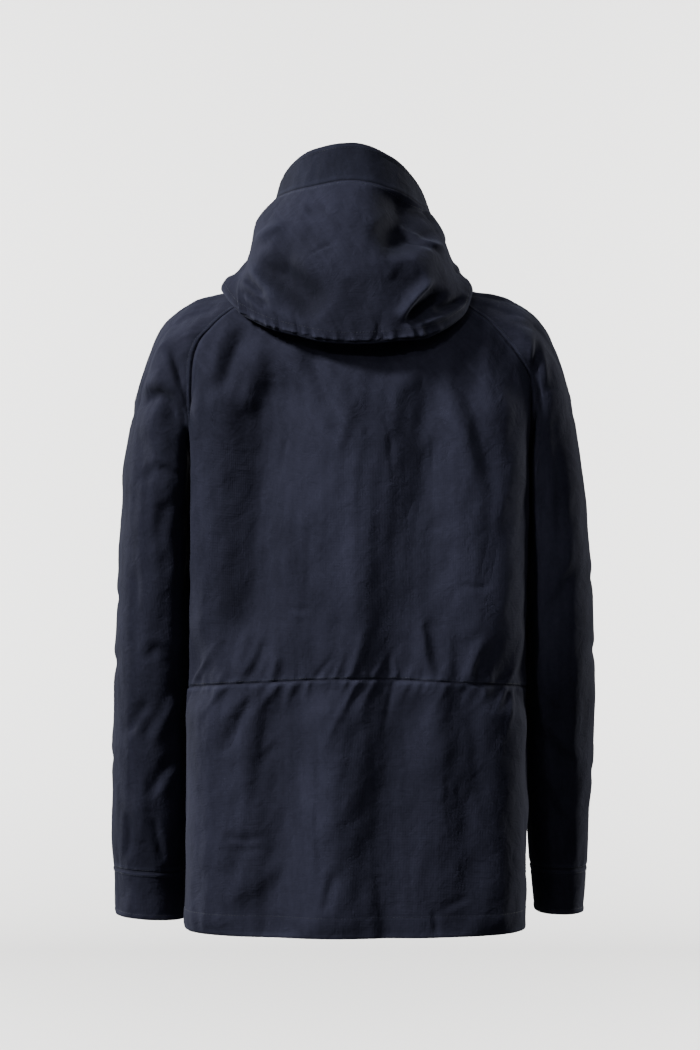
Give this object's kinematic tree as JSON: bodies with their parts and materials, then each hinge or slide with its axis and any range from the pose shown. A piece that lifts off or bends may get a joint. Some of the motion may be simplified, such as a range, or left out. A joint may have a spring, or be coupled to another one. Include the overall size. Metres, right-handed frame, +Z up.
{
  "type": "hooded raglan mountain parka",
  "caption": "Hip-length hooded parka in dense navy cotton, with raglan sleeves, a back waist seam, a lowered hood and a snapped storm flap, in its worn shape.",
  "frame": {"origin": "middle of the base of the neck, level with the top of the shoulders, where the parka hangs from its wearer", "axes": "+Z up along the wearer's spine, +X to the wearer's left, +Y out of the back, so the front faces -Y"},
  "size_m": [0.5728, 0.3124, 0.9026],
  "materials": {
    "shell": "dense matte ink-navy cotton with a soft sheen on the folds",
    "snap": "satin dark enamel on a pressed cap"
  },
  "bodies": {
    "root": {"back_upper": "shell", "back_lower": "shell", "front_left": "shell", "front_right": "shell", "sleeve_left_back": "shell", "sleeve_left_front": "shell", "sleeve_right_back": "shell", "sleeve_right_front": "shell", "cuff_left": "shell", "cuff_right": "shell", "hood_visor": "shell", "hood_crown": "shell", "hood_nape": "shell", "hood_side_left": "shell", "hood_side_right": "shell", "storm_flap": "shell", "snap_1": "snap", "snap_2": "snap", "snap_3": "snap", "snap_4": "snap", "snap_5": "snap", "snap_6": "snap"}
  },
  "joints": []
}
